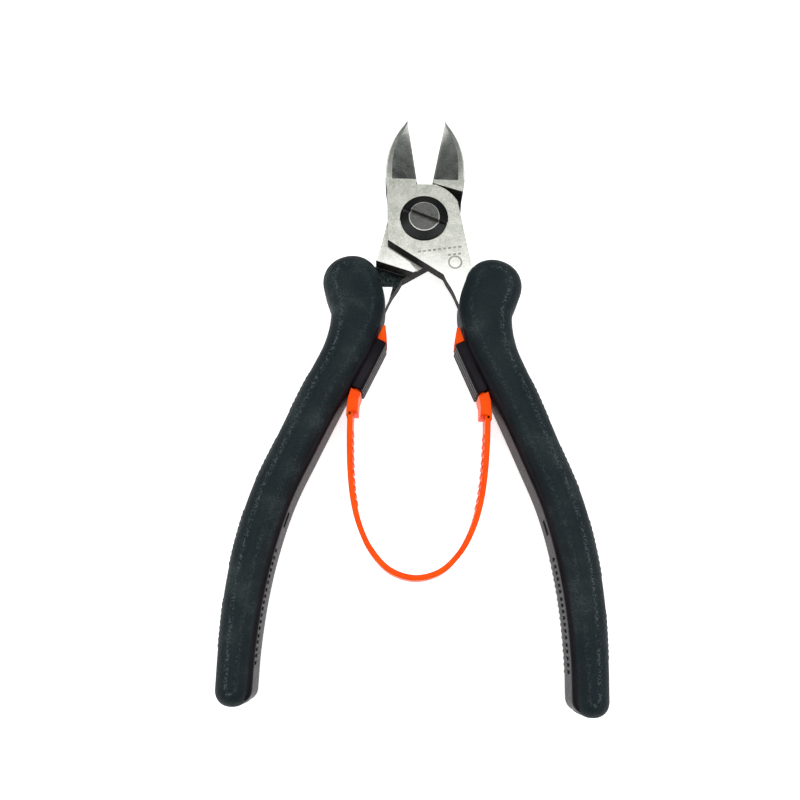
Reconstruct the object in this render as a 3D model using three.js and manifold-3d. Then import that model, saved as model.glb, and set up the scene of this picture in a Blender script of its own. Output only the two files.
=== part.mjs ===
// Diagonal cutting pliers with a lap joint, lying open: two forged steel levers turn on a slotted
// pivot screw, each tang sits in a hard handle core inside a soft grip cover, and a plastic leaf
// spring bent to a U plugs into a holder on each handle and pushes the handles apart.
// Millimetres. X runs across the tool, Y towards the jaws and Z towards the screw head. The origin
// is on the pivot axis, at the back face of the joint.
import * as THREE from 'three';
import { mergeVertices } from 'three/addons/utils/BufferGeometryUtils.js';
import Module from 'manifold-3d';

const wasm = await Module();
wasm.setup();

// ---- Driving dimensions ----
const HEAD_THICKNESS = 9;
const MID = HEAD_THICKNESS / 2;
const GAP = 0.3; // between neighbouring pieces
const LAP_GAP = 0.2; // between the two lap faces
const HALF_OPENING = THREE.MathUtils.degToRad(9.5); // each cutting edge from the tool's centre line

const JAW_HALF_WIDTH = 10.35; // widest place of the head, from the centre line
const JAW_BASE_Y = 11; // foot of the ground bevels
const JAW_BULGE_Y = 14; // where the outer arc of a jaw starts
const JAW_TIP_Y = 29.8;
const JAW_ARC_RADIUS = 26.6;
const JAW_RIM = 1.75; // flat left outside the bevel
const JAW_TIP_RISE = 1.3; // half thickness at the tip
const JAW_CHAMFER = 0.7;

const SHORT_SHOULDER = [[9.4, -8.2], [12, -12], [7.2, -13.45], [6.6, -10.05]]; // front lever
const LONG_SHOULDER = [[9.4, -8.2], [12, -12], [2.4, -14.9], [1.55, -14.55], [3.4, -12.15]]; // rear

const PIVOT_RADIUS = 3.2;
const SCREW_HEAD_RADIUS = 6.05;
const SCREW_TOP_RADIUS = 3.9;
const SCREW_HEAD_RISE = 1.25;
const SCREW_SLOT_WIDTH = 1.05;
const SCREW_SLOT_DEPTH = 1.45;
const SCREW_SLOT_ANGLE = THREE.MathUtils.degToRad(-21);
const SCREW_SEAT_DEPTH = 0.6;
const NUT_RADIUS = 5;
const NUT_THICKNESS = 2.6;
const THREAD_RADIUS = 2.4;
const SPANNER_HOLE_RADIUS = 0.7;
const SPANNER_HOLE_PLACE = 3.7;

const GRIP_HALF_HEIGHT = 8;
const GRIP_EDGE_DROP = 4; // rounded edge of the cover, measured along Z
const GRIP_EDGE_INSET = 3.2; // and measured across the handle
const CORE_HALF_HEIGHT = 5.7;
const CORE_SHIFT = 1.5; // the core lies this far towards the inner side of the handle
const CORE_NARROWER = 0.9; // its half width is this much less than the cover's
const CORE_EDGE = 0.8;

const PAD_HALF_HEIGHT = 4.2;
const PAD_DEPTH = 2;
const PAD_PROUD = 0.4; // how far a pad stands out of the cover
const PAD_STRETCHES = [[-44, -54.5], [-60, -71.5], [-77, -91], [-97, -109]]; // Y from, Y to

const HOLDER_HALF_WIDTH = 1.6;
const HOLDER_HALF_HEIGHT = 5.3;
const HOLDER_TOP = [9.95, -33.3];
const HOLDER_FOOT = [15.55, -45.7];
const HOLDER_EDGE = 1;

const LEAF_THICKNESS = 1.3;
const LEAF_HALF_HEIGHT = 4.2;
const TONGUE_THICKNESS = 1.2;
const TONGUE_HALF_HEIGHT = 3.5;

// Centre lines as [x, y, half width] on the right-hand handle, from the joint outwards.
const HANDLE_LINE = [
  [17.9, -18.2, 7.2], [16.2, -23.8, 6.95], [16.8, -29.5, 6.1], [18.9, -36, 5.35], [21.7, -42, 5.1],
  [24.6, -48, 5.05], [29.8, -60, 4.85], [34.8, -72, 4.8], [38.1, -84, 4.65], [40, -96, 4.4],
  [40.8, -108, 4.1], [40.9, -117.2, 4],
];
const TANG_LINE = [
  [8, -11.5, 3.9], [9.2, -14.8, 3.75], [10.7, -18.6, 3.1], [12.3, -23.6, 2.6], [15, -30, 2.35],
  [19.2, -39, 2.3], [23.6, -48, 2.3], [29, -60, 2.3], [34.2, -72, 2.2], [36.4, -80, 2],
];
const CORE_NOSE = [[14.7, -27, 4.6], [15.9, -31.5, 4.9]];
const CORE_NOSE_STATIONS = 3; // handle stations that the nose stands in for
const BULB_SQUARENESS = 2.1; // of a strap's upper end: 2 is round, more is squarer
const LEAF_SIDE = [
  [16.9, -51.6], [16.8, -58], [16.3, -66], [15.3, -73], [13.5, -79.2], [10.6, -84.8], [6, -89.4],
];
const LEAF_BEND_Y = -91.1;

const STEEL = { color: 0xc9c8c2, roughness: 0.35, metalness: 1 };
const SCREW_STEEL = { color: 0x4a4b4d, roughness: 0.4, metalness: 1 };
const HARD_PLASTIC = { color: 0x2a2528, roughness: 0.55, metalness: 0 };
const SOFT_PLASTIC = { color: 0x1f2a2b, roughness: 0.7, metalness: 0 };
const SPRING_PLASTIC = { color: 0xff5a10, roughness: 0.35, metalness: 0 };

// ---- Helpers ----
function toSolid(geometry) {
  const bare = new THREE.BufferGeometry();
  bare.setAttribute('position', geometry.getAttribute('position'));
  bare.setIndex(geometry.getIndex());
  const merged = mergeVertices(bare, 1e-4);
  const vertProperties = merged.getAttribute('position').array;
  const triVerts = Uint32Array.from(merged.getIndex().array);
  return new wasm.Manifold(new wasm.Mesh({ numProp: 3, vertProperties, triVerts }));
}

function toGeometry(solid) {
  const mesh = solid.getMesh();
  const geometry = new THREE.BufferGeometry();
  geometry.setAttribute('position', new THREE.BufferAttribute(mesh.vertProperties, 3));
  geometry.setIndex(new THREE.BufferAttribute(mesh.triVerts, 1));
  geometry.computeVertexNormals();
  return geometry;
}

function join(...solids) {
  return solids.reduce((whole, solid) => whole.add(solid));
}

function cut(solid, ...tools) {
  return tools.reduce((whole, tool) => whole.subtract(tool), solid);
}

function shapeOf(points) {
  return new THREE.Shape(points.map(([x, y]) => new THREE.Vector2(x, y)));
}

// An upright prism between two heights.
function prism(shape, bottom, top) {
  const geometry = new THREE.ExtrudeGeometry(shape, { depth: top - bottom, bevelEnabled: false });
  return toSolid(geometry.translate(0, 0, bottom));
}

// A prism centred on the joint's mid plane, with rounded upper and lower edges.
function pillow(shape, halfHeight, edgeDrop, edgeInset, edgeSegments) {
  const geometry = new THREE.ExtrudeGeometry(shape, {
    depth: 2 * (halfHeight - edgeDrop),
    bevelEnabled: true,
    bevelThickness: edgeDrop,
    bevelSize: edgeInset,
    bevelOffset: -edgeInset,
    bevelSegments: edgeSegments,
  });
  return toSolid(geometry.translate(0, 0, MID - halfHeight + edgeDrop));
}

// The frames along a centre line: place, sideways direction and half width at equal steps.
function framesAlong(line, steps) {
  const curve = new THREE.CatmullRomCurve3(line.map(([x, y, half]) => new THREE.Vector3(x, y, half)));
  const frames = [];
  for (let i = 0; i <= steps; i += 1) {
    const place = curve.getPoint(i / steps);
    const ahead = curve.getTangent(i / steps);
    const side = new THREE.Vector2(-ahead.y, ahead.x).normalize();
    frames.push({ x: place.x, y: place.y, half: place.z, side });
  }
  return frames;
}

// The outline of a strap along a centre line, with rounded ends.
function strapShape(line, grow, steps, endSteps) {
  const frames = framesAlong(line, steps);
  const edge = (frame, sign) => [
    frame.x + sign * frame.side.x * (frame.half + grow),
    frame.y + sign * frame.side.y * (frame.half + grow),
  ];
  const endArc = (frame, sign, squareness) => {
    const radius = sign * (frame.half + grow);
    const points = [];
    for (let i = 1; i < endSteps; i += 1) {
      const angle = (Math.PI * i) / endSteps;
      const across = Math.sign(Math.cos(angle)) * Math.abs(Math.cos(angle)) ** (2 / squareness);
      const beyond = Math.sin(angle) ** (2 / squareness);
      points.push([
        frame.x + radius * (across * frame.side.x + beyond * frame.side.y),
        frame.y + radius * (across * frame.side.y - beyond * frame.side.x),
      ]);
    }
    return points;
  };
  const last = frames[frames.length - 1];
  return shapeOf([
    ...frames.map((frame) => edge(frame, 1)),
    ...endArc(last, 1, 2),
    ...frames.map((frame) => edge(frame, -1)).reverse(),
    ...endArc(frames[0], -1, BULB_SQUARENESS),
  ]);
}

function disc(radius, bottom, top, segments = 48) {
  const geometry = new THREE.CylinderGeometry(radius, radius, top - bottom, segments);
  return toSolid(geometry.rotateX(Math.PI / 2).translate(0, 0, (top + bottom) / 2));
}

// ---- Levers: drawn once as the front lever, with its jaw on the left and its tang on the right ----
function jawHalfWidthAt(y) {
  const along = Math.max(0, y - JAW_BULGE_Y);
  return JAW_HALF_WIDTH - JAW_ARC_RADIUS + Math.sqrt(JAW_ARC_RADIUS ** 2 - along ** 2);
}

// One cross-section of the jaw: cutting edge, ridge, outer flat and side, above and below.
function jawSection(y) {
  const along = (y - JAW_BASE_Y) / (JAW_TIP_Y - JAW_BASE_Y);
  const rise = THREE.MathUtils.lerp(MID, JAW_TIP_RISE, along ** 1.6);
  const chamfer = Math.min(JAW_CHAMFER, rise / 2);
  const edge = y * Math.tan(HALF_OPENING);
  const outer = jawHalfWidthAt(y);
  const rim = Math.min(JAW_RIM * (1 - 0.3 * along), 0.7 * (outer - edge));
  const chamferInset = Math.min(chamfer * 0.6, rim / 2);
  const upper = [
    [outer - rim, rise], [outer - chamferInset, rise], [outer, rise - chamfer],
  ];
  const lower = upper.map(([x, z]) => [x, -z]).reverse();
  return [[edge, 0], ...upper, ...lower].map(([x, z]) => new THREE.Vector3(-x, y, MID + z));
}

function jawBlade() {
  const stations = [0, 0.15, 0.3, 0.45, 0.6, 0.72, 0.84, 0.93, 1];
  const sections = stations.map((s) => jawSection(THREE.MathUtils.lerp(JAW_BASE_Y, JAW_TIP_Y, s)));
  return toSolid(loft(sections));
}

// A closed skin through sections of equal point count, with flat ends.
function loft(sections) {
  const count = sections[0].length;
  const positions = sections.flat().flatMap((p) => [p.x, p.y, p.z]);
  const index = [];
  for (let s = 0; s + 1 < sections.length; s += 1) {
    for (let i = 0; i < count; i += 1) {
      const a = s * count + i;
      const b = s * count + ((i + 1) % count);
      index.push(a, a + count, b, b, a + count, b + count);
    }
  }
  const lastRing = (sections.length - 1) * count;
  for (let i = 1; i + 1 < count; i += 1) {
    index.push(0, i, i + 1);
    index.push(lastRing, lastRing + i + 1, lastRing + i);
  }
  const geometry = new THREE.BufferGeometry();
  geometry.setAttribute('position', new THREE.Float32BufferAttribute(positions, 3));
  geometry.setIndex(index);
  return geometry;
}

function lapShape() {
  const lapRadius = 9.9;
  const shape = new THREE.Shape();
  shape.moveTo(-2.3, 9.55);
  shape.lineTo(3.1, 9.55);
  shape.absarc(0, 0, lapRadius, THREE.MathUtils.degToRad(72), THREE.MathUtils.degToRad(30), true);
  shape.lineTo(12.4, -12.4);
  shape.lineTo(5.5, -15.4);
  shape.lineTo(-9.15, -6.2);
  shape.lineTo(-9.4, 0);
  shape.lineTo(-9.8, 7.8);
  shape.lineTo(-jawHalfWidthAt(JAW_BASE_Y), JAW_BASE_Y + 0.5);
  shape.lineTo(-2.3, JAW_BASE_Y + 0.5);
  return shape;
}

function jawRootShape() {
  const halfWidth = jawHalfWidthAt(JAW_BASE_Y);
  return shapeOf([[-2.2, 9.95], [-2.2, JAW_BASE_Y], [-halfWidth, JAW_BASE_Y], [-9.8, 7.8]]);
}

// A full-thickness block. Past the lap's edge its tip keeps to the layer under the lap, so that the
// two levers pass each other; only the rear lever has the long tip.
function shoulderBlock(outline) {
  const pastLap = shapeOf([[-9.15, -6.2], [5.5, -15.4], [5.5, -25], [-9.15, -25]]);
  return cut(prism(shapeOf(outline), 0, HEAD_THICKNESS), prism(pastLap, MID - LAP_GAP / 2, HEAD_THICKNESS + 1));
}

function leverSolid(seatRadius, seatDepth, shoulder) {
  const lapBottom = MID + LAP_GAP / 2;
  const lap = prism(lapShape(), lapBottom, HEAD_THICKNESS);
  const tang = prism(strapShape(TANG_LINE, 0, 24, 8), lapBottom, HEAD_THICKNESS);
  const jawRoot = prism(jawRootShape(), 0, HEAD_THICKNESS);
  const lapAboveBevel = prism(shapeOf([[0, JAW_BASE_Y], [-20, JAW_BASE_Y], [-20, 20], [0, 20]]), -1, 10);
  return cut(
    join(cut(lap, lapAboveBevel), tang, jawRoot, shoulderBlock(shoulder), jawBlade()),
    disc(PIVOT_RADIUS + GAP / 2, -1, HEAD_THICKNESS + 1),
    disc(seatRadius, HEAD_THICKNESS - seatDepth, HEAD_THICKNESS + 1, 64),
  );
}

// ---- Pivot ----
function pivotScrew() {
  const underHead = HEAD_THICKNESS - SCREW_SEAT_DEPTH + LAP_GAP / 2;
  const nutTop = NUT_THICKNESS + LAP_GAP;
  const profile = [
    [0, 1], [THREAD_RADIUS, 1], [THREAD_RADIUS, nutTop + 0.2], [PIVOT_RADIUS - 0.05, nutTop + 0.2],
    [PIVOT_RADIUS - 0.05, underHead], [SCREW_HEAD_RADIUS, underHead],
    [SCREW_HEAD_RADIUS, HEAD_THICKNESS + 0.15], [SCREW_TOP_RADIUS, HEAD_THICKNESS + SCREW_HEAD_RISE],
    [0, HEAD_THICKNESS + SCREW_HEAD_RISE],
  ];
  const body = toSolid(
    new THREE.LatheGeometry(profile.map(([r, z]) => new THREE.Vector2(r, z)), 64).rotateX(Math.PI / 2),
  );
  const slotLength = 2 * SCREW_HEAD_RADIUS + 2;
  const slot = new THREE.BoxGeometry(slotLength, SCREW_SLOT_WIDTH, 2 * SCREW_SLOT_DEPTH);
  slot.rotateZ(SCREW_SLOT_ANGLE).translate(0, 0, HEAD_THICKNESS + SCREW_HEAD_RISE);
  return cut(body, toSolid(slot));
}

function pivotNut() {
  const body = disc(NUT_RADIUS, 0, NUT_THICKNESS);
  const thread = disc(THREAD_RADIUS + GAP / 2, 0.8, NUT_THICKNESS + 1);
  const spannerHoles = [-1, 1].map((side) => {
    const hole = new THREE.CylinderGeometry(SPANNER_HOLE_RADIUS, SPANNER_HOLE_RADIUS, 3, 16);
    return toSolid(hole.rotateX(Math.PI / 2).translate(side * SPANNER_HOLE_PLACE, 0, 0));
  });
  return cut(body, thread, ...spannerHoles);
}

// ---- Handles: drawn once as the right-hand handle ----
function inwards([x, y, half], before, after) {
  const side = new THREE.Vector2(after[1] - before[1], before[0] - after[0]).normalize();
  return [x + side.x * CORE_SHIFT, y + side.y * CORE_SHIFT, half - CORE_NARROWER];
}

function coreLine() {
  const line = HANDLE_LINE.map((station, i) => {
    const before = HANDLE_LINE[Math.max(i - 1, 0)];
    const after = HANDLE_LINE[Math.min(i + 1, HANDLE_LINE.length - 1)];
    return inwards(station, before, after);
  });
  return [...CORE_NOSE, ...line.slice(CORE_NOSE_STATIONS)];
}

function coreBody(grow) {
  const shape = strapShape(coreLine(), grow, 30, 10);
  return pillow(shape, CORE_HALF_HEIGHT + grow, CORE_EDGE, CORE_EDGE, 1);
}

function tangPocket(grow) {
  const shape = strapShape(TANG_LINE, grow, 24, 8);
  return prism(shape, MID + LAP_GAP / 2 - grow, HEAD_THICKNESS + grow);
}

// A straight strip beside the handle, along the axis of the spring holder.
function holderStrip(halfWidth, fromTop, pastFoot) {
  const axis = new THREE.Vector2(HOLDER_FOOT[0] - HOLDER_TOP[0], HOLDER_FOOT[1] - HOLDER_TOP[1]);
  const length = axis.length();
  axis.normalize();
  const corner = (along, sideways) => [
    HOLDER_TOP[0] + axis.x * along - axis.y * sideways,
    HOLDER_TOP[1] + axis.y * along + axis.x * sideways,
  ];
  return shapeOf([
    corner(-fromTop, -halfWidth), corner(length + pastFoot, -halfWidth),
    corner(length + pastFoot, halfWidth), corner(-fromTop, halfWidth),
  ]);
}

function springSeat() {
  const barbReach = 5.5; // the seat runs on past both ends of the holder, to clear the spring's
  const shoeReach = 4.5; // barb above it and its shoe below it
  const height = HOLDER_HALF_HEIGHT + GAP;
  return prism(holderStrip(HOLDER_HALF_WIDTH + GAP, barbReach, shoeReach), MID - height, MID + height);
}

function handleCore() {
  return cut(coreBody(0), tangPocket(GAP), springSeat());
}

// A pad follows the outer side of the handle between two heights along Y.
function padBody([fromY, toY], grow) {
  const frames = framesAlong(HANDLE_LINE, 60).filter(({ y }) => y < fromY + grow && y > toY - grow);
  const outside = frames.map(({ x, y, half, side }) => [
    x + side.x * (half + PAD_PROUD + grow), y + side.y * (half + PAD_PROUD + grow),
  ]);
  const inside = frames.map(({ x, y, half, side }) => [
    x + side.x * (half + PAD_PROUD - PAD_DEPTH - grow), y + side.y * (half + PAD_PROUD - PAD_DEPTH - grow),
  ]);
  return pillow(shapeOf([...outside, ...inside.reverse()]), PAD_HALF_HEIGHT + grow, 0.5, 0.5, 1);
}

function gripCover() {
  const shape = strapShape(HANDLE_LINE, 0, 32, 10);
  const body = pillow(shape, GRIP_HALF_HEIGHT, GRIP_EDGE_DROP, GRIP_EDGE_INSET, 3);
  const pads = PAD_STRETCHES.map((stretch) => padBody(stretch, GAP));
  return cut(body, coreBody(GAP), tangPocket(GAP), springSeat(), ...pads);
}

function springHolder() {
  const body = pillow(holderStrip(HOLDER_HALF_WIDTH, 0, 0), HOLDER_HALF_HEIGHT, HOLDER_EDGE, HOLDER_EDGE, 2);
  const height = TONGUE_HALF_HEIGHT + GAP;
  const bore = holderStrip(TONGUE_THICKNESS / 2 + GAP, 2, 2);
  return cut(body, prism(bore, MID - height, MID + height));
}

// ---- Spring ----
function mirrored(points) {
  return points.map(([x, y, ...rest]) => [-x, y, ...rest]).reverse();
}

// Barb, tongue and shoe at the right-hand end of the leaf.
function springEnd(side) {
  const place = (points) => shapeOf(side > 0 ? points : mirrored(points));
  const barb = [[11, -32.4], [8.5, -33.55], [8.6, -31.6], [9, -28.9], [9.6, -28.8]];
  const tongue = [[9.1, -33.2], [10.2, -32.7], [16.2, -46], [15.1, -46.5]];
  const shoe = [
    [14.5, -46.6], [15, -48.5], [15.05, -51.4], [16.6, -51.4], [16.6, -52.4], [17.85, -52.4],
    [17.85, -50.5], [17.6, -47.8], [16.95, -45.5],
  ];
  return join(
    prism(place(barb), MID - TONGUE_HALF_HEIGHT, MID + TONGUE_HALF_HEIGHT),
    prism(place(tongue), MID - TONGUE_HALF_HEIGHT, MID + TONGUE_HALF_HEIGHT),
    prism(place(shoe), MID - LEAF_HALF_HEIGHT, MID + LEAF_HALF_HEIGHT),
  );
}

function uSpring() {
  const half = LEAF_THICKNESS / 2;
  const side = LEAF_SIDE.map(([x, y]) => [x, y, half]);
  const line = [...side, [0, LEAF_BEND_Y, half], ...mirrored(side)];
  const leaf = prism(strapShape(line, 0, 48, 4), MID - LEAF_HALF_HEIGHT, MID + LEAF_HALF_HEIGHT);
  return join(leaf, springEnd(1), springEnd(-1));
}

// ---- Assembly ----
const pliers = new THREE.Group();
const frontHalf = new THREE.Group();
const rearHalf = new THREE.Group();
rearHalf.rotation.y = Math.PI; // drawn like the front half, then turned over about the Y axis
rearHalf.position.z = HEAD_THICKNESS;
pliers.add(frontHalf, rearHalf);

function addPiece(group, name, solid, finish) {
  const mesh = new THREE.Mesh(toGeometry(solid), new THREE.MeshStandardMaterial(finish));
  mesh.name = name;
  group.add(mesh);
}

const frontLever = leverSolid(SCREW_HEAD_RADIUS + 0.2, SCREW_SEAT_DEPTH, SHORT_SHOULDER);
const rearLever = leverSolid(NUT_RADIUS + 0.2, NUT_THICKNESS + LAP_GAP, LONG_SHOULDER);
addPiece(frontHalf, 'front_lever', frontLever, STEEL);
addPiece(rearHalf, 'rear_lever', rearLever, STEEL);
addPiece(pliers, 'pivot_screw', pivotScrew(), SCREW_STEEL);
addPiece(pliers, 'pivot_nut', pivotNut(), SCREW_STEEL);
for (const [group, side] of [[frontHalf, 'right'], [rearHalf, 'left']]) {
  addPiece(group, `${side}_handle_core`, handleCore(), HARD_PLASTIC);
  addPiece(group, `${side}_grip_cover`, gripCover(), SOFT_PLASTIC);
  addPiece(group, `${side}_spring_holder`, springHolder(), HARD_PLASTIC);
  PAD_STRETCHES.forEach((stretch, i) => {
    addPiece(group, `${side}_grip_pad_${i + 1}`, padBody(stretch, 0), HARD_PLASTIC);
  });
}
addPiece(pliers, 'u_spring', uSpring(), SPRING_PLASTIC);

export default pliers;
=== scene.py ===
# Looks for the diagonal cutting pliers: detailed grips, levers, pivot and spring round the
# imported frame.
# Lengths are metres in the frame's own axes: X across the tool, Y to the jaws, Z to the screw head.
import math

import bmesh
import bpy
from mathutils import Euler, Matrix, Vector


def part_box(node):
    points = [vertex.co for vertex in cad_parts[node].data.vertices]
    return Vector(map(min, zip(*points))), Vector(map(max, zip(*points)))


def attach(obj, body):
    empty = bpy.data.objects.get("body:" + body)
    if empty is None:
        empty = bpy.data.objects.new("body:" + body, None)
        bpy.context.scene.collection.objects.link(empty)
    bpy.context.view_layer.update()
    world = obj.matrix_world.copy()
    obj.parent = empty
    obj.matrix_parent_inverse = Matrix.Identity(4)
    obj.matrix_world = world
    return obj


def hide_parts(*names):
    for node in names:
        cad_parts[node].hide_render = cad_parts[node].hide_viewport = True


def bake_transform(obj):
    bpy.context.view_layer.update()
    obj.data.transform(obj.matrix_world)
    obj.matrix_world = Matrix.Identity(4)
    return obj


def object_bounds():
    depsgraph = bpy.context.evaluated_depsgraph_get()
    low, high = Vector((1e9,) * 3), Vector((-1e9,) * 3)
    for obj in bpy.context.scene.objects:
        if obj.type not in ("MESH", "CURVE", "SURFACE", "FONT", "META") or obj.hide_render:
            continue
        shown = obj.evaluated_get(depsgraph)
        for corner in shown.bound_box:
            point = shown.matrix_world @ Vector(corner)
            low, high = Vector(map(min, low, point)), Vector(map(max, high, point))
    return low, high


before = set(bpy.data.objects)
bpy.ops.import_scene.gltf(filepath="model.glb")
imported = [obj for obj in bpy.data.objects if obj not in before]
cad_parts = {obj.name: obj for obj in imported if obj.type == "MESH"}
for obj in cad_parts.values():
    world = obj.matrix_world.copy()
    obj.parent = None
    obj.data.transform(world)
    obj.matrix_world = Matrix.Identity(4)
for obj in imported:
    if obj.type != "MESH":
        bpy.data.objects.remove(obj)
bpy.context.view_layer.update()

# ---- Driving dimensions ----
MM = 0.001
HEAD_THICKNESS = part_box("front_lever")[1].z
MID = HEAD_THICKNESS / 2
FLOOR_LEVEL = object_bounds()[0].z
TURN_OVER = Matrix.Translation((0, 0, HEAD_THICKNESS)) @ Matrix.Rotation(math.pi, 4, "Y")

# Camera: where it aims, how far off it is, its tilt from straight down and its turn about the aim.
CAMERA_AIM = Vector((-4.8, -47.3, 4.5)) * MM
CAMERA_DISTANCE = 231.75 * MM
CAMERA_TILT = math.radians(13.9)
CAMERA_TURN = math.radians(1.7)
CAMERA_LENS = 41.7
CAMERA_SENSOR = 36
CAMERA_NEAREST = 10 * MM

FLOOR_HALF_SIZE = 6
LIGHT_AIM = (0, -0.045, 0)

# Centre lines as (x, y, half width) in millimetres on the right-hand handle.
HANDLE_LINE = [
    (17.9, -18.2, 7.2), (16.2, -23.8, 6.95), (16.8, -29.5, 6.1), (18.9, -36, 5.35),
    (21.7, -42, 5.1), (24.6, -48, 5.05), (29.8, -60, 4.85), (34.8, -72, 4.8),
    (38.1, -84, 4.65), (40, -96, 4.4), (40.8, -108, 4.1), (40.9, -117.2, 4),
]
CORE_LINE = [
    (14.7, -27, 4.6), (15.9, -31.5, 4.9), (17.6, -36.8, 4.45), (20.4, -42.7, 4.2),
    (23.3, -48.7, 4.15), (28.4, -60.6, 3.95), (33.4, -72.5, 3.9), (36.6, -84.3, 3.75),
    (38.5, -96.2, 3.5), (39.3, -108, 3.2), (39.4, -117.2, 3.1),
]
PAD_STRETCHES = [(-44, -54.5), (-60, -71.5), (-77, -91), (-97, -109)]
PAD_PROUD = 0.3
PAD_DEPTH = 2.2
PAD_HALF_HEIGHT = 4.2
PAD_RIB_HEIGHT = 0.05
PAD_RIB_PITCH = 1.3
BULB_SQUARENESS = 2.1
FOOT_SQUARENESS = 2.2
COVER_HALF_HEIGHT = 8
COVER_EDGE = (3.2, 4)  # width and depth of the rounded edge
COVER_CROWN = 0.35
CORE_HALF_HEIGHT = 5.7
CORE_EDGE = (0.9, 1.1)
CORE_CROWN = 0.05
CORE_RIB_START_Y = -85
CORE_RIB_PITCH = 1.55
CORE_RIB_COUNT = 18
CORE_BOSS_Y = -77.2

LEAF_SIDE = [
    (16.9, -51.6), (16.8, -58), (16.3, -66), (15.3, -73), (13.5, -79.2), (10.6, -84.8), (6, -89.4),
]
LEAF_BEND_Y = -91.1
LEAF_THICKNESS = 1.3
LEAF_HALF_HEIGHT = 4.2
TONGUE_HALF_HEIGHT = 3.5
BARB = [(11, -32.4), (8.5, -33.55), (8.6, -31.6), (9, -28.9), (9.6, -28.8)]
TONGUE = [(9.1, -33.2), (10.2, -32.7), (16.2, -46), (15.1, -46.5)]
SHOE = [
    (14.5, -46.6), (15, -48.5), (15.05, -51.4), (16.6, -51.4), (16.6, -52.4), (17.85, -52.4),
    (17.85, -50.5), (17.6, -47.8), (16.95, -45.5),
]
HOLDER_TOP = Vector((9.95, -33.3))
HOLDER_FOOT = Vector((15.55, -45.7))
HOLDER_HALF_WIDTH = 1.6
HOLDER_HALF_HEIGHT = 5.3
HOLDER_GROOVE = 0.22
HOLDER_GROOVE_HEIGHTS = (2.9, 0, -2.9)
SHOE_END_Y = -52.5  # below it, the spring is leaf only
LEAF_RIB_START_Y = -56.5
LEAF_RIB_PITCH = 1.9
LEAF_RIB_COUNT = 10

# Finish of the meshes.
WELD_DISTANCE = 0.002
SMOOTH_UP_TO = math.radians(40)
STEEL_SMOOTH_UP_TO = math.radians(25)
JAW_START_Y = 11.2


# ---- Camera, floor and light ----
def add_object(name, data):
    made = bpy.data.objects.new(name, data)
    bpy.context.scene.collection.objects.link(made)
    return made


def make_camera():
    turn = Matrix.Rotation(CAMERA_TURN, 3, "Z")
    ahead = turn @ Vector((0, math.sin(CAMERA_TILT), -math.cos(CAMERA_TILT)))
    camera = add_object("camera", bpy.data.cameras.new("camera"))
    camera.data.lens = CAMERA_LENS
    camera.data.sensor_width = CAMERA_SENSOR
    camera.data.clip_start = CAMERA_NEAREST
    camera.location = CAMERA_AIM - ahead * CAMERA_DISTANCE
    camera.rotation_euler = (turn @ Euler((CAMERA_TILT, 0, 0)).to_matrix()).to_euler()
    bpy.context.scene.camera = camera


def make_floor():
    """A pale floor, partly self-lit, which gives a white ground with almost no shadow."""
    size = FLOOR_HALF_SIZE
    corners = [(-size, -size), (size, -size), (size, size), (-size, size)]
    mesh = bpy.data.meshes.new("floor")
    mesh.from_pydata([(x, y, FLOOR_LEVEL) for x, y in corners], [], [(0, 1, 2, 3)])
    floor = add_object("floor", mesh)
    paint = new_material("pale_floor", (0.85, 0.85, 0.85), 0.9, specular=0.1)
    shader_of(paint).inputs["Emission Color"].default_value = (1, 1, 1, 1)
    shader_of(paint).inputs["Emission Strength"].default_value = 0.7
    mesh.materials.append(paint)


def add_area_light(name, place, size, watts):
    light = bpy.data.lights.new(name, "AREA")
    light.shape = "RECTANGLE"
    light.size, light.size_y = size
    light.energy = watts
    lamp = add_object(name, light)
    lamp.location = place
    lamp.rotation_euler = (Vector(LIGHT_AIM) - Vector(place)).to_track_quat("-Z", "Y").to_euler()


def make_light():
    scene = bpy.context.scene
    scene.view_settings.view_transform = "Standard"
    scene.world = bpy.data.worlds.new("studio")
    scene.world.use_nodes = True
    background = scene.world.node_tree.nodes["Background"]
    background.inputs["Color"].default_value = (0.9, 0.95, 1, 1)
    background.inputs["Strength"].default_value = 0.28
    add_area_light("overhead", (0, 0.01, 0.95), (1.1, 0.72), 7.2)
    add_area_light("left_fill", (-0.9, -0.1, 0.55), (0.5, 0.9), 2)
    add_area_light("right_fill", (0.9, -0.1, 0.55), (0.5, 0.9), 2)


# ---- Material tools ----
NOISE_SPAN = (0.3, 0.7)  # where most of a noise pattern's values lie


def shader_of(material):
    return material.node_tree.nodes["Principled BSDF"]


def new_material(name, colour, roughness, metallic=0.0, specular=0.5):
    material = bpy.data.materials.new(name)
    material.use_nodes = True
    shader = shader_of(material)
    shader.inputs["Base Color"].default_value = (*colour, 1)
    shader.inputs["Roughness"].default_value = roughness
    shader.inputs["Metallic"].default_value = metallic
    shader.inputs["Specular IOR Level"].default_value = specular
    return material


def node(material, kind, inputs=None, **settings):
    made = material.node_tree.nodes.new(kind)
    for key, value in settings.items():
        setattr(made, key, value)
    for key, value in (inputs or {}).items():
        if isinstance(value, bpy.types.NodeSocket):
            material.node_tree.links.new(value, made.inputs[key])
        else:
            made.inputs[key].default_value = value
    return made


def connect(material, socket, shader_input):
    material.node_tree.links.new(socket, shader_of(material).inputs[shader_input])


def own_place(material):
    """The piece's own coordinates, in metres."""
    return node(material, "ShaderNodeTexCoord").outputs["Object"]


def own_axes(material):
    """The piece's own X, Y and Z, each as a number."""
    return node(material, "ShaderNodeSeparateXYZ", {0: own_place(material)}).outputs


def stretched_place(material, stretch=(1, 1, 1), turn=0.0):
    """The piece's own coordinates, stretched and turned about Z."""
    mapping = node(material, "ShaderNodeMapping", {
        "Vector": own_place(material), "Scale": stretch, "Rotation": (0, 0, turn),
    })
    return mapping.outputs["Vector"]


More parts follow.
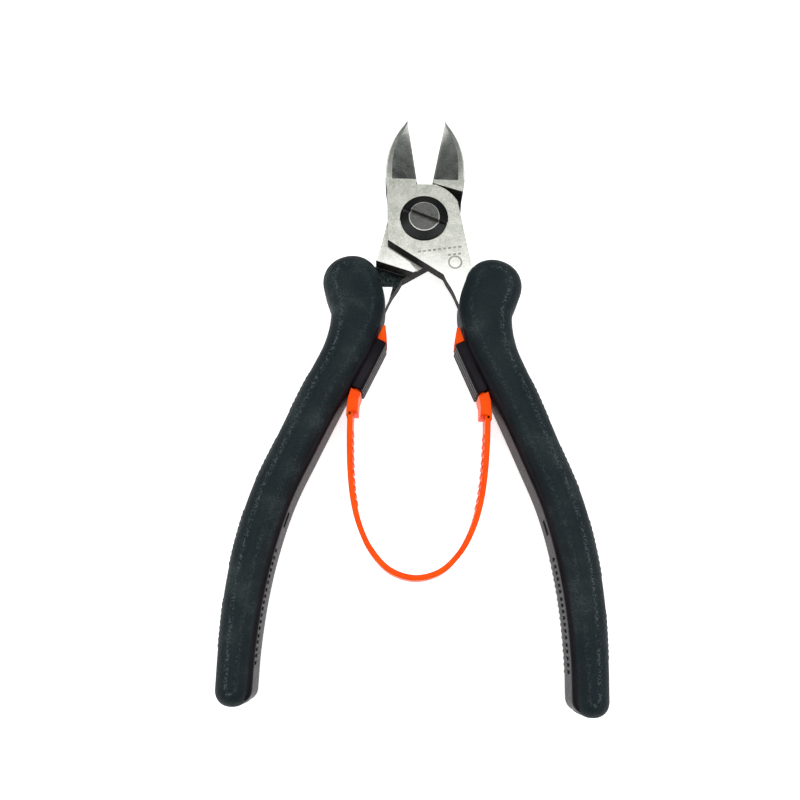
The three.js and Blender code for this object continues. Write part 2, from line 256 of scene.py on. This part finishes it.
def noise(material, scale, detail=3.0, stretch=(1, 1, 1), turn=0.0):
    made = node(material, "ShaderNodeTexNoise", {
        "Vector": stretched_place(material, stretch, turn), "Scale": scale, "Detail": detail,
    })
    return made.outputs["Fac"]


def ramp(material, factor, low, high, from_value=0.0, to_value=1.0):
    """A number that runs from from_value to to_value as factor runs from low to high."""
    made = node(material, "ShaderNodeMapRange", {
        "Value": factor, "From Min": low, "From Max": high,
        "To Min": from_value, "To Max": to_value,
    })
    return made.outputs["Result"]


def blend_colours(material, factor, first, second):
    made = node(material, "ShaderNodeMix", data_type="RGBA")
    tree = material.node_tree
    colours = [socket for socket in made.inputs if socket.type == "RGBA"]
    tree.links.new(factor, made.inputs[0])
    for socket, colour in zip(colours, (first, second)):
        if isinstance(colour, bpy.types.NodeSocket):
            tree.links.new(colour, socket)
        else:
            socket.default_value = (*colour, 1)
    return [socket for socket in made.outputs if socket.type == "RGBA"][0]


def mottle(material, pattern, low, high, dark, light):
    """A colour that runs from dark to light as the pattern runs from low to high."""
    return blend_colours(material, ramp(material, pattern, low, high), dark, light)


def calculate(material, operation, first, second=0.0):
    made = node(material, "ShaderNodeMath", {0: first, 1: second}, operation=operation)
    return made.outputs[0]


def product(material, first, second):
    return calculate(material, "MULTIPLY", first, second)


def difference(material, first, second):
    return calculate(material, "SUBTRACT", first, second)


def within(material, value, middle, reach):
    """1 where the value is nearer than reach to the middle, otherwise 0."""
    gap = calculate(material, "ABSOLUTE", difference(material, value, middle))
    return calculate(material, "LESS_THAN", gap, reach)


def vary_roughness(material, pattern, smoothest, roughest):
    connect(material, ramp(material, pattern, *NOISE_SPAN, smoothest, roughest), "Roughness")


def add_bump(material, height, depth, strength):
    """Shallow relief, its depth in millimetres."""
    made = node(material, "ShaderNodeBump", {
        "Height": height, "Distance": depth * MM, "Strength": strength,
    })
    connect(material, made.outputs["Normal"], "Normal")


# ---- Materials ----
# Plain marks etched on the front lever, in millimetres.
RING_CENTRE = Vector((8.2, -11.9, 9))
RING_RADIUS = 1.6
RING_HALF_WIDTH = 0.22
DASH_SLOPE = 0.158
DASH_WAVE = 4900  # radians for each metre along the row
DASH_THRESHOLD = -0.35
DASH_HALF_WIDTH = 0.26
DASH_ROWS = [(-9.1, -1.9, 10.1), (-11, 6.3, 9.6)]  # height, start and end

HALF_OPENING = math.radians(9.5)  # of each cutting edge from the middle, at rest
SHOULDER_SLOPE = 0.302
SHOULDER_LINE_Y = -15.6
RECESS_SLOPE = 0.22
SCREW_RIM_RADIUS = 3.85
SCREW_RIM_HIGHLIGHT_HALF_WIDTH = 0.1
TURNING_WAVE = 26000  # radians for each metre out from the screw's axis


def satin_steel():
    """Ground outer faces: mottled, with fine grinding marks, and a painted highlight that grows
    towards the tangs.
    """
    material = new_material("satin_steel", (0.6, 0.6, 0.57), 0.34, metallic=1.0)
    speckle = product(material, noise(material, 2600, 5), 0.6)
    cloud = product(material, noise(material, 320, 3), 0.4)
    pattern = calculate(material, "ADD", speckle, cloud)
    wear_and_glints = mottle(material, pattern, 0.36, 0.62, (0.36, 0.37, 0.32), (0.58, 0.58, 0.53))
    # Painted highlight: the steel is coloured near white towards the tangs, where the overhead light
    # reflects.
    painted_tang_highlight = ramp(material, own_axes(material)["Y"], -8 * MM, -21 * MM)
    colour = blend_colours(material, painted_tang_highlight, wear_and_glints, (0.9, 0.9, 0.88))
    connect(material, etched_marks(material, colour), "Base Color")
    marks = noise(material, 2600, 2, stretch=(0.12, 1, 1))
    vary_roughness(material, marks, 0.34, 0.5)
    add_bump(material, marks, 0.02, 0.35)
    return material


def etched_marks(material, colour):
    """A plain ring and two rows of dashes etched beside the joint, on the upper side only."""
    to_centre = node(material, "ShaderNodeVectorMath",
                     {0: own_place(material), 1: RING_CENTRE * MM}, operation="DISTANCE")
    mask = within(material, to_centre.outputs["Value"], RING_RADIUS * MM, RING_HALF_WIDTH * MM)
    axes = own_axes(material)
    wave = calculate(material, "SINE", product(material, axes["X"], DASH_WAVE))
    dash = calculate(material, "GREATER_THAN", wave, DASH_THRESHOLD)
    level = difference(material, axes["Y"], product(material, axes["X"], DASH_SLOPE))
    for row_y, from_x, to_x in DASH_ROWS:
        row = within(material, level, row_y * MM, DASH_HALF_WIDTH * MM)
        for operation, limit in (("GREATER_THAN", from_x), ("LESS_THAN", to_x)):
            row = product(material, row, calculate(material, operation, axes["X"], limit * MM))
        mask = calculate(material, "MAXIMUM", mask, product(material, row, dash))
    top_side = calculate(material, "GREATER_THAN", axes["Z"], HEAD_THICKNESS - 0.2 * MM)
    patchy = ramp(material, noise(material, 500, 2), 0.35, 0.6, 0.6, 0.85)
    mask = product(material, product(material, mask, top_side), patchy)
    return blend_colours(material, mask, colour, (0.16, 0.15, 0.12))


def ground_bevel():
    """Ground faces of the jaws: grinding lines on steel painted darker than the flats as shade,
    lighter to the tip, and a painted highlight in a strip by the edge.
    """
    material = new_material("ground_bevel", (0.3, 0.3, 0.28), 0.3, metallic=1.0)
    lines = noise(material, 9000, 2, stretch=(0.05, 1, 0.3), turn=math.radians(12))
    cloud = noise(material, 260, 3)
    pattern = calculate(material, "ADD", product(material, lines, 0.5), product(material, cloud, 0.5))
    # Painted shade: the bevel steel is coloured darker than the flats, for faces tilted away from the
    # light.
    colour = mottle(material, pattern, 0.36, 0.64, (0.1, 0.1, 0.088), (0.36, 0.37, 0.34))
    axes = own_axes(material)
    towards_tip = ramp(material, axes["Y"], 12 * MM, 28 * MM, 0, 0.5)
    colour = blend_colours(material, towards_tip, colour, (0.5, 0.51, 0.48))
    outwards = calculate(material, "ABSOLUTE", axes["X"])
    from_edge = difference(material, outwards, product(material, axes["Y"], math.tan(HALF_OPENING)))
    # Painted highlight: a narrow lighter strip by the cutting edge, for the small second bevel
    # catching the light.
    painted_edge_highlight = ramp(material, from_edge, 0.5 * MM, 0.42 * MM)
    connect(material, blend_colours(material, painted_edge_highlight, colour, (0.45, 0.45, 0.42)), "Base Color")
    vary_roughness(material, lines, 0.24, 0.42)
    add_bump(material, lines, 0.02, 0.6)
    return material


def forged_and_shaded_wall():
    """Side walls and recesses: a dark forged and hardened finish, painted darker still as shade."""
    # Painted shade on top of the dark finish: near-black colour with little metal or specular keeps
    # walls and recesses as dark as their shade.
    material = new_material("forged_and_shaded_wall", (0.03, 0.03, 0.03), 0.62, metallic=0.08, specular=0.08)
    grain = noise(material, 1500, 4)
    colour = mottle(material, grain, 0.35, 0.7, (0.008, 0.008, 0.008), (0.05, 0.048, 0.044))
    connect(material, colour, "Base Color")
    add_bump(material, grain, 0.04, 0.5)
    return material


def lap_floor():
    """Inner lap face: ground beside the joint; dark past the shoulder and towards the jaws, partly
    the dark unground face and partly painted shade in the deep gaps; near white on the tang as a
    painted highlight.
    """
    material = new_material("lap_floor", (0.1, 0.1, 0.1), 0.4, metallic=1.0)
    axes = own_axes(material)
    along = axes["Y"]
    outwards = calculate(material, "ABSOLUTE", axes["X"])
    grain = noise(material, 2400, 4)
    # Partly painted shade: this dark colour fills the deep gaps by the joint and the recess past the
    # shoulder.
    dark = mottle(material, grain, 0.4, 0.7, (0.004, 0.006, 0.006), (0.03, 0.037, 0.037))
    ground = mottle(material, noise(material, 2600, 5), 0.36, 0.62,
                    (0.46, 0.47, 0.41), (0.66, 0.66, 0.6))
    level = difference(material, along, product(material, outwards, SHOULDER_SLOPE))
    before_shoulder = ramp(material, level, (SHOULDER_LINE_Y - 0.1) * MM, SHOULDER_LINE_Y * MM)
    beside_joint = product(material, before_shoulder, ramp(material, along, -0.4 * MM, -0.8 * MM))
    shaded = blend_colours(material, beside_joint, dark, ground)
    past_recess = calculate(material, "ADD", outwards, product(material, along, RECESS_SLOPE))
    # Painted highlight: near-white colour on the tang, where the overhead light reflects.
    tang_patch_highlight = product(material, ramp(material, along, -17.3 * MM, -17.5 * MM),
                     ramp(material, past_recess, 3.75 * MM, 3.9 * MM))
    connect(material, blend_colours(material, tang_patch_highlight, shaded, (0.85, 0.85, 0.83)), "Base Color")
    add_bump(material, grain, 0.06, 0.6)
    return material


def blackened_steel():
    """Blackened turned steel: a lighter middle inside a painted highlight ring at the edge of the
    flat top.
    """
    material = new_material("blackened_steel", (0.05, 0.05, 0.052), 0.34, metallic=1.0)
    flattened = node(material, "ShaderNodeVectorMath", {0: own_place(material), 1: (1, 1, 0)},
                     operation="MULTIPLY").outputs[0]
    radius = node(material, "ShaderNodeVectorMath", {0: flattened},
                  operation="LENGTH").outputs["Value"]
    wave = calculate(material, "SINE", product(material, radius, TURNING_WAVE))
    cloud = noise(material, 1400, 3)
    middle = ramp(material, radius, (SCREW_RIM_RADIUS + 0.15) * MM, SCREW_RIM_RADIUS * MM)
    shade = product(material, middle, ramp(material, cloud, *NOISE_SPAN, 0.6, 1.0))
    # Painted highlight: a bright ring where the flat top meets the chamfer.
    painted_rim_highlight = within(material, radius, SCREW_RIM_RADIUS * MM, SCREW_RIM_HIGHLIGHT_HALF_WIDTH * MM)
    colour = blend_colours(material, shade, (0.03, 0.031, 0.03), (0.12, 0.12, 0.115))
    connect(material, blend_colours(material, painted_rim_highlight, colour, (0.42, 0.42, 0.4)), "Base Color")
    vary_roughness(material, cloud, 0.26, 0.42)
    add_bump(material, wave, 0.01, 0.3)
    return material


def soft_cover():
    """Soft-touch grip: very dark blue-green with a fine pebbled surface, painted glints on the
    pebbles and a painted dotted highlight along the outer ridge.
    """
    material = new_material("soft_cover", (0.012, 0.022, 0.024), 0.62, specular=0.2)
    pebbles = node(material, "ShaderNodeTexVoronoi",
                   {"Vector": stretched_place(material), "Scale": 1500.0}).outputs["Distance"]
    fine = noise(material, 2800, 3)
    height = calculate(material, "ADD", pebbles, product(material, fine, 0.8))
    patches = noise(material, 130, 3)
    base = mottle(material, patches, 0.35, 0.7, (0.003, 0.009, 0.012), (0.008, 0.016, 0.018))
    # Painted glints: light specks in the colour for the pebbles catching the light.
    speck_glints = ramp(material, product(material, fine, patches), 0.3, 0.38, 0, 0.35)
    # Painted highlight: a dotted light line along the ridge where the rounded edge meets the top.
    ridge = node(material, "ShaderNodeAttribute", attribute_name="ridge").outputs["Fac"]
    dotted_ridge_highlight = product(material, ridge, ramp(material, noise(material, 2100, 2), 0.5, 0.58))
    wear_and_glints = calculate(material, "MAXIMUM", speck_glints, dotted_ridge_highlight)
    connect(material, blend_colours(material, wear_and_glints, base, (0.065, 0.084, 0.088)), "Base Color")
    vary_roughness(material, fine, 0.5, 0.75)
    add_bump(material, height, 0.12, 0.75)
    return material


def hard_core():
    """Smooth moulded plastic with a faint purple-grey cast."""
    material = new_material("hard_core", (0.03, 0.025, 0.03), 0.45, specular=0.06)
    cloud = noise(material, 160, 3)
    colour = mottle(material, cloud, *NOISE_SPAN, (0.006, 0.005, 0.007), (0.012, 0.01, 0.013))
    connect(material, colour, "Base Color")
    vary_roughness(material, noise(material, 1800, 3), 0.32, 0.46)
    add_bump(material, noise(material, 2200, 3), 0.03, 0.3)
    return material


def grip_pad():
    """The pads' plastic, close to the cover's colour and without its pebbles."""
    material = new_material("grip_pad", (0.009, 0.014, 0.015), 0.66, specular=0.3)
    grain = noise(material, 2000, 3)
    colour = mottle(material, grain, *NOISE_SPAN, (0.007, 0.012, 0.013), (0.014, 0.02, 0.021))
    connect(material, colour, "Base Color")
    add_bump(material, grain, 0.05, 0.5)
    return material


def spring_plastic():
    """Glossy moulded orange, a little redder and rougher in patches."""
    material = new_material("spring_plastic", (1, 0.08, 0.0002), 0.4, specular=0.05)
    shader_of(material).inputs["Subsurface Weight"].default_value = 0.05
    shader_of(material).inputs["Subsurface Scale"].default_value = 1.2 * MM
    cloud = noise(material, 220, 3)
    colour = mottle(material, cloud, *NOISE_SPAN, (0.98, 0.065, 0.0001), (1, 0.1, 0.0003))
    connect(material, colour, "Base Color")
    vary_roughness(material, noise(material, 1500, 2), 0.25, 0.42)
    add_bump(material, noise(material, 1200, 2), 0.02, 0.25)
    return material


# ---- Mesh tools ----
def new_piece(name, vertices, faces, material, transform=None, ridges=None):
    """A piece from points in millimetres, with the share of painted ridge highlight at each point if
    given.
    """
    mesh = bpy.data.meshes.new(name)
    mesh.from_pydata([Vector(v) * MM for v in vertices], [], faces)
    if ridges is not None:
        mesh.attributes.new("ridge", "FLOAT", "POINT").data.foreach_set("value", ridges)
    if transform is not None:
        mesh.transform(transform)
    mesh.materials.append(material)
    work = welded(mesh)
    bmesh.ops.dissolve_degenerate(work, edges=work.edges, dist=WELD_DISTANCE / 2 * MM)
    finish_mesh(work, mesh, SMOOTH_UP_TO)
    return add_object(name, mesh)


def welded(mesh):
    """The mesh opened for work, its double points merged."""
    work = bmesh.new()
    work.from_mesh(mesh)
    bmesh.ops.remove_doubles(work, verts=work.verts, dist=WELD_DISTANCE * MM)
    return work


def finish_mesh(work, mesh, sharp_angle, paint_face=None):
    """Turns faces outwards, paints them, and shades smooth except over sharp edges."""
    bmesh.ops.recalc_face_normals(work, faces=work.faces)
    for face in work.faces:
        face.smooth = True
        if paint_face is not None:
            face.material_index = paint_face(face.calc_center_median() / MM, face.normal)
    for edge in work.edges:
        edge.smooth = edge.calc_face_angle(0) < sharp_angle
    work.to_mesh(mesh)
    work.free()


def round_edges(piece, width):
    """A small bevel, its width in millimetres, on the edges that aren't shaded smooth."""
    bevel = piece.modifiers.new("rounded_edges", "BEVEL")
    bevel.width = width * MM
    bevel.segments = 2
    bevel.limit_method = "ANGLE"
    bevel.angle_limit = STEEL_SMOOTH_UP_TO
    bevel.harden_normals = True
    bevel.use_clamp_overlap = True


def catmull_rom(points, steps):
    """Points along a smooth curve through the given ones, with each one's forward direction."""
    points = [Vector(p) for p in points]
    before = points[0] * 2 - points[1]
    after = points[-1] * 2 - points[-2]
    guides = [before, *points, after]
    spans = len(points) - 1
    made = []
    for i in range(steps + 1):
        place = spans * i / steps
        span = min(int(place), spans - 1)
        t = place - span
        a, b, c, d = guides[span:span + 4]
        square = 2 * a - 5 * b + 4 * c - d
        cube = 3 * b - a - 3 * c + d
        point = 0.5 * (2 * b + (c - a) * t + square * t ** 2 + cube * t ** 3)
        ahead = 0.5 * ((c - a) + 2 * square * t + 3 * cube * t ** 2)
        made.append((point, Vector((ahead.x, ahead.y)).normalized()))
    return made


def rings_to_faces(count, around):
    """Quads between neighbouring rings of equal point count, with a face over each end."""
    faces = []
    for ring in range(count - 1):
        here, beyond = ring * around, (ring + 1) * around
        for i in range(around):
            j = (i + 1) % around
            faces.append((here + i, here + j, beyond + j, beyond + i))
    faces.append(tuple(range(around))[::-1])
    faces.append(tuple((count - 1) * around + i for i in range(around)))
    return faces


def rounded_rectangle(half_width, half_height, corner, steps):
    """The four corners of a rectangle, each as its own list of points round the corner."""
    corners = []
    for quarter, (sx, sy) in enumerate([(1, 1), (-1, 1), (-1, -1), (1, -1)]):
        arc = []
        for i in range(steps):
            angle = math.pi / 2 * (quarter + i / (steps - 1))
            arc.append((sx * (half_width - corner) + corner * math.cos(angle),
                        sy * (half_height - corner) + corner * math.sin(angle)))
        corners.append(arc)
    return corners


# ---- Grips: a strap along a centre line with a crowned, rounded section ----
def edge_height(depth, edge, half_height, crown, half_width):
    """Height of the strap's surface at a distance in from its outline."""
    width, drop = edge
    last_angle = math.radians(76)  # a soft ridge is left where the rounded edge meets the top
    share = min(1.0, depth / width)
    angle = math.acos(1 - share * (1 - math.cos(last_angle)))
    rise = (drop - crown) * math.sin(angle) / math.sin(last_angle)
    inwards = max(0.0, (depth - width) / max(half_width - width, 0.1))
    return half_height - drop + rise + crown * math.sin(min(1.0, inwards) * math.pi / 2)


def strap_stations(line, squareness, steps=120, cap_steps=16):
    """Stops along the strap: centre with its half width as z, direction, how far past the end of
    the line as a share, the squareness there and the end's radius."""

    def cap(end, sign, power):
        point, ahead = end
        radius = point.z
        made = []
        for i in range(1, cap_steps + 1):
            share = min(math.sin(math.pi / 2 * i / cap_steps), 0.9995)
            shift = ahead * radius * share * sign
            half = radius * (1 - share ** power) ** (1 / power)
            centre = Vector((point.x + shift.x, point.y + shift.y, half))
            made.append((centre, ahead, share, power, radius))
        return made

    frames = catmull_rom(line, steps)
    middle = [(point, ahead, 0.0, 2, point.z) for point, ahead in frames]
    return [*cap(frames[0], -1, squareness)[::-1], *middle, *cap(frames[-1], 1, FOOT_SQUARENESS)]


def strap(line, half_height, edge, crown, squareness, across=26, walls=4):
    """Vertices and faces of the strap, in millimetres, and how near each point is to its ridge, which
    sets the painted ridge highlight.
    """
    stations = strap_stations(line, squareness)
    spread = [-math.cos(math.pi * i / across) for i in range(across + 1)]
    straight_wall = half_height - edge[1]
    vertices, ridges = [], []

    def add_point(point, ahead, share, height, near_ridge):
        reach = share * point.z
        vertices.append((point.x - ahead.y * reach, point.y + ahead.x * reach, MID / MM + height))
        ridges.append(near_ridge)

    for point, ahead, beyond, power, radius in stations:
        for level in (1, -1):
            for share in spread[::level]:
                reach = ((abs(share) * point.z / radius) ** power + beyond ** power) ** (1 / power)
                depth = radius * max(0.0, 1 - reach)
                height = edge_height(depth, edge, half_height, crown, radius)
                near_ridge = math.exp(-((depth - 0.9 * edge[0]) / 0.4) ** 2)
                near_ridge *= 1.0 if share > 0 else 0.35  # the painted highlight is strongest on the outer ridge
                add_point(point, ahead, share, level * height, near_ridge)
            for i in range(1, walls):
                add_point(point, ahead, level, level * straight_wall * (1 - 2 * i / walls), 0.0)
    around = 2 * (across + walls)
    return vertices, rings_to_faces(len(stations), around), ridges


def side_place(line, y):
    """Where the line passes y: its centre with the half width as z, and its side direction."""
    point, ahead = min(catmull_rom(line, 400), key=lambda f: abs(f[0].y - y))
    return point, Vector((-ahead.y, ahead.x))


def merge(parts):
    """One list of points and one of faces from the lists of several parts."""
    vertices, faces = [], []
    for part_vertices, part_faces in parts:
        start = len(vertices)
        vertices += part_vertices
        faces += [tuple(start + i for i in face) for face in part_faces]
    return vertices, faces


def rounded_block(centre, along, half_length, half_depth, half_height, corner):
    """A block with rounded upright outline and soft upper and lower edges, turned to face along."""
    side = Vector((-along.y, along.x))
    upper = [(0.8, 0), (0.93, 0.12), (1, 0.5), (1, 1)]  # share of the half height, and drawn in
    profile = [(-height, shrink) for height, shrink in upper[::-1]] + upper
    points = []
    for height, shrink in profile:
        for quarter, (sx, sy) in enumerate([(1, 1), (-1, 1), (-1, -1), (1, -1)]):
            for i in range(4):
                angle = math.pi / 2 * (quarter + i / 3)
                u = sx * (half_length - corner) + (corner - shrink * corner) * math.cos(angle)
                v = sy * (half_depth - corner) + (corner - shrink * corner) * math.sin(angle)
                points.append((centre.x + along.x * u + side.x * v,
                               centre.y + along.y * u + side.y * v,
                               centre.z + height * half_height))
    return points, rings_to_faces(len(profile), len(points) // len(profile))


def core_block(y, drop, half_length, half_depth, half_height, corner):
    """A raised block on the inner face of the core, drop below its middle height."""
    point, side = side_place(CORE_LINE, y)
    centre = Vector((point.x - side.x * point.z, point.y - side.y * point.z, MID / MM - drop))
    along = Vector((side.y, -side.x))
    return rounded_block(centre, along, half_length, half_depth, half_height, corner)


def core_details():
    """Plain ribs and one oval boss on the inner face of the core."""
    ribs = [core_block(CORE_RIB_START_Y - CORE_RIB_PITCH * i, 1.2, 0.42, 0.34, 2.6, 0.2)
            for i in range(CORE_RIB_COUNT)]
    return [*ribs, core_block(CORE_BOSS_Y, 0.5, 1.9, 0.3, 2.2, 0.28)]


def pad_body(from_y, to_y):
    """A pad on the outer side of the cover, with fine cross ribs and sunk, tapered ends."""
    frames = [f for f in catmull_rom(HANDLE_LINE, 900) if to_y < f[0].y < from_y]
    count = len(frames)
    points = []
    for i, (point, ahead) in enumerate(frames):
        side = Vector((-ahead.y, ahead.x))
        from_end = min(i, count - 1 - i) / count
        taper = math.sin(min(1.0, from_end / 0.06) * math.pi / 2)
        rib = PAD_RIB_HEIGHT * math.cos(2 * math.pi * point.y / PAD_RIB_PITCH)
        out = point.z + (PAD_PROUD + rib) * taper - 0.25 * (1 - taper)
        root = -PAD_DEPTH + point.z
        section = [
            (root, -1), (out - 0.5, -1), (out - 0.12, -0.94), (out, -0.8), (out, 0),
            (out, 0.8), (out - 0.12, 0.94), (out - 0.5, 1), (root, 1),
        ]
        points += [(point.x + side.x * reach, point.y + side.y * reach,
                    MID / MM + height * PAD_HALF_HEIGHT) for reach, height in section]
    return points, rings_to_faces(count, len(points) // count)


def holder_body():
    """The spring holder: a rounded block with lengthwise grooves on its inner face."""
    along = (HOLDER_FOOT - HOLDER_TOP).normalized()
    side = Vector((-along.y, along.x))  # towards the handle
    length = (HOLDER_FOOT - HOLDER_TOP).length
    upper_outer, upper_inner, lower_inner, lower_outer = rounded_rectangle(
        HOLDER_HALF_WIDTH, HOLDER_HALF_HEIGHT, 1.0, 6)
    grooves = []
    for z in HOLDER_GROOVE_HEIGHTS:
        for rise, groove in ((0.5, 0), (0, HOLDER_GROOVE), (-0.5, 0)):
            grooves.append((-HOLDER_HALF_WIDTH + groove, z + rise))
    section = [*upper_outer, *upper_inner, *grooves, *lower_inner, *lower_outer]
    stops = [
        (0, 0.35), (0.12, 0.1), (0.4, 0), (length - 0.4, 0), (length - 0.12, 0.1), (length, 0.35),
    ]
    points = []
    for travel, shrink in stops:
        for u, z in section:
            u_in = u * (1 - shrink / HOLDER_HALF_WIDTH)
            z_in = z * (1 - shrink / HOLDER_HALF_HEIGHT)
            points.append((HOLDER_TOP.x + along.x * travel + side.x * u_in,
                           HOLDER_TOP.y + along.y * travel + side.y * u_in, MID / MM + z_in))
    return points, rings_to_faces(len(stops), len(section))


# ---- Spring ----
def leaf_line():
    """Centre line of the leaf, from the right shoe round the bend to the left one."""
    half = [Vector((x, y, 0)) for x, y in LEAF_SIDE]
    mirrored = [Vector((-p.x, p.y, 0)) for p in half[::-1]]
    return [*half, Vector((0, LEAF_BEND_Y, 0)), *mirrored]


def leaf_body():
    """The U-shaped leaf alone, with rounded edges."""
    corners = rounded_rectangle(LEAF_THICKNESS / 2, LEAF_HALF_HEIGHT, 0.28, 4)
    section = [place for arc in corners for place in arc]
    frames = catmull_rom(leaf_line(), 160)
    points = []
    for point, ahead in frames:
        side = Vector((-ahead.y, ahead.x))
        points += [(point.x + side.x * u, point.y + side.y * u, MID / MM + z) for u, z in section]
    return points, rings_to_faces(len(frames), len(section))


def upright_prism(outline, half_height, chamfer=0.16):
    """A prism with a small chamfer round its upper and lower edges."""
    count = len(outline)
    centre = Vector((sum(x for x, y in outline) / count, sum(y for x, y in outline) / count))
    full = 1 - chamfer / half_height
    profile = [(-1, chamfer), (-full, 0), (full, 0), (1, chamfer)]
    points = []
    for height, inset in profile:
        for i, (x, y) in enumerate(outline):
            before = Vector(outline[i - 1])
            after = Vector(outline[(i + 1) % count])
            here = Vector((x, y))
            outwards = (here - before).normalized() + (here - after).normalized()
            if outwards.length > 0.2:
                towards = -outwards.normalized()
                pull = towards * inset * (1 if towards.dot(centre - here) > 0 else -1)
            else:
                pull = (centre - here).normalized() * inset
            points.append((x + pull.x, y + pull.y, MID / MM + height * half_height))
    return points, rings_to_faces(len(profile), count)


def spring_body():
    """The leaf, with a barb, a tongue and a shoe at each end and small ribs on its inner side."""
    parts = [leaf_body()]
    ends = ((BARB, TONGUE_HALF_HEIGHT), (TONGUE, TONGUE_HALF_HEIGHT), (SHOE, LEAF_HALF_HEIGHT))
    for side in (1, -1):
        for outline, half_height in ends:
            points = [(side * x, y) for x, y in outline][::side]
            parts.append(upright_prism(points, half_height))
    frames = catmull_rom(leaf_line(), 400)
    for side in (1, -1):
        this_side = [f for f in frames if f[0].x * side > 0]
        for i in range(LEAF_RIB_COUNT):
            y = LEAF_RIB_START_Y - LEAF_RIB_PITCH * i
            point, ahead = min(this_side, key=lambda f: abs(f[0].y - y))
            centre = Vector((point.x - side * LEAF_THICKNESS / 2, point.y, MID / MM))
            parts.append(rounded_block(centre, ahead, 0.5, 0.3, 2.6, 0.22))
    return merge(parts)


def bend_with_handles(piece):
    """Bakes the spring's placement into its mesh and measures lengths along the U; no points are
    moved, so the U stays as built.
    """
    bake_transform(piece)
    centres = [point for point, ahead in catmull_rom(leaf_line(), 200)]
    lengths = [0.0]
    for here, after in zip(centres, centres[1:]):
        lengths.append(lengths[-1] + (after - here).length)
    for vertex in piece.data.vertices:
        here = vertex.co / MM
        if here.y > SHOE_END_Y:
            continue


# ---- Steel pieces: the frame's shapes with rounded edges and a finish for each kind of face ----
def from_frame(node_name, piece_name, materials, edge, paint_face):
    """A copy of a frame's node with its flat faces joined up, painted and rounded at the edges."""
    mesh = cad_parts[node_name].data.copy()
    mesh.name = piece_name
    mesh.materials.clear()
    for material in materials:
        mesh.materials.append(material)
    work = welded(mesh)
    bmesh.ops.dissolve_limit(work, angle_limit=math.radians(1), verts=work.verts, edges=work.edges)
    finish_mesh(work, mesh, STEEL_SMOOTH_UP_TO, paint_face)
    piece = add_object(piece_name, mesh)
    round_edges(piece, edge)
    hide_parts(node_name)
    return piece


SATIN, BEVEL, WALL, LAP = range(4)


def lever_face(centre, normal):
    """Which finish a lever's face has, from its centre in millimetres and its normal."""
    lean = abs(normal.z)
    on_jaw = centre.y > JAW_START_Y
    faces_inwards = centre.x * normal.x < 0 and abs(normal.x) > 0.2
    if on_jaw and lean > 0.12 and faces_inwards:
        return BEVEL
    if on_jaw and lean > 0.3:
        return SATIN
    if lean > 0.95:
        outer = centre.z > HEAD_THICKNESS / MM - 0.3 or centre.z < 0.3
        return SATIN if outer else LAP
    return WALL


def plain_face(centre, normal):
    """One finish all over."""
    return 0


# ---- Building ----
def build_levers():
    paints = [satin_steel(), ground_bevel(), forged_and_shaded_wall(), lap_floor()]
    for side, body in (("front", "front_half"), ("rear", "rear_half")):
        lever = from_frame(f"{side}_lever", f"{side}_lever_steel", paints, 0.14, lever_face)
        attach(lever, body)


def build_pivot():
    paint = blackened_steel()
    for part in ("screw", "nut"):
        piece = from_frame(f"pivot_{part}", f"pivot_{part}_steel", [paint], 0.1, plain_face)
        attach(piece, "rear_half")


def build_handle(side, body, transform, paints):
    *shape, ridges = strap(HANDLE_LINE, COVER_HALF_HEIGHT, COVER_EDGE, COVER_CROWN, BULB_SQUARENESS)
    cover = new_piece(f"{side}_cover_soft", *shape, paints["cover"], transform, ridges)
    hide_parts(f"{side}_grip_cover")
    core_strap = strap(CORE_LINE, CORE_HALF_HEIGHT, CORE_EDGE, CORE_CROWN, 2)[:2]
    core_shape = merge([core_strap, *core_details()])
    core = new_piece(f"{side}_core_hard", *core_shape, paints["core"], transform)
    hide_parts(f"{side}_handle_core")
    holder = new_piece(f"{side}_holder_block", *holder_body(), paints["core"], transform)
    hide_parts(f"{side}_spring_holder")
    pieces = [cover, core, holder]
    for i, stretch in enumerate(PAD_STRETCHES, start=1):
        pad = new_piece(f"{side}_pad_{i}", *pad_body(*stretch), paints["pad"], transform)
        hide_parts(f"{side}_grip_pad_{i}")
        pieces.append(pad)
    for piece in pieces:
        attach(piece, body)


def build_spring():
    spring = new_piece("u_spring_leaf", *spring_body(), spring_plastic())
    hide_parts("u_spring")
    bend_with_handles(spring)


make_camera()
make_floor()
make_light()
build_levers()
build_pivot()
grip_paints = {"cover": soft_cover(), "core": hard_core(), "pad": grip_pad()}
build_handle("right", "front_half", None, grip_paints)
build_handle("left", "rear_half", TURN_OVER, grip_paints)
build_spring()
